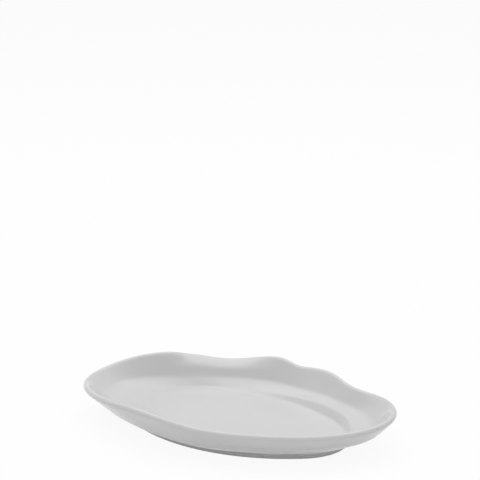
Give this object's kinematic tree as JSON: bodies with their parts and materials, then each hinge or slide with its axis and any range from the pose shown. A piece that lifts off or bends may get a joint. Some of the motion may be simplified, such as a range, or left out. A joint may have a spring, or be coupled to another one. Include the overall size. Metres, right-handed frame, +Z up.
{
  "type": "serving plate",
  "caption": "Oval serving plate with a freely waved rim that turns out into a pouring lip, a flat stepped well and an oval foot ring, in white glazed porcelain.",
  "frame": {"origin": "on the table, under the middle of the plate's plan", "axes": "+X to the plate's right end, +Y to the wavy back with the pouring lip, +Z up"},
  "size_m": [0.3023, 0.1888, 0.041],
  "materials": {
    "fired_clay": "matte, unglazed",
    "white_glaze": "gloss"
  },
  "bodies": {
    "root": {"plate_body": "fired_clay", "foot_ring": "fired_clay", "glaze_coat": "white_glaze", "base_glaze": "white_glaze"}
  },
  "joints": []
}
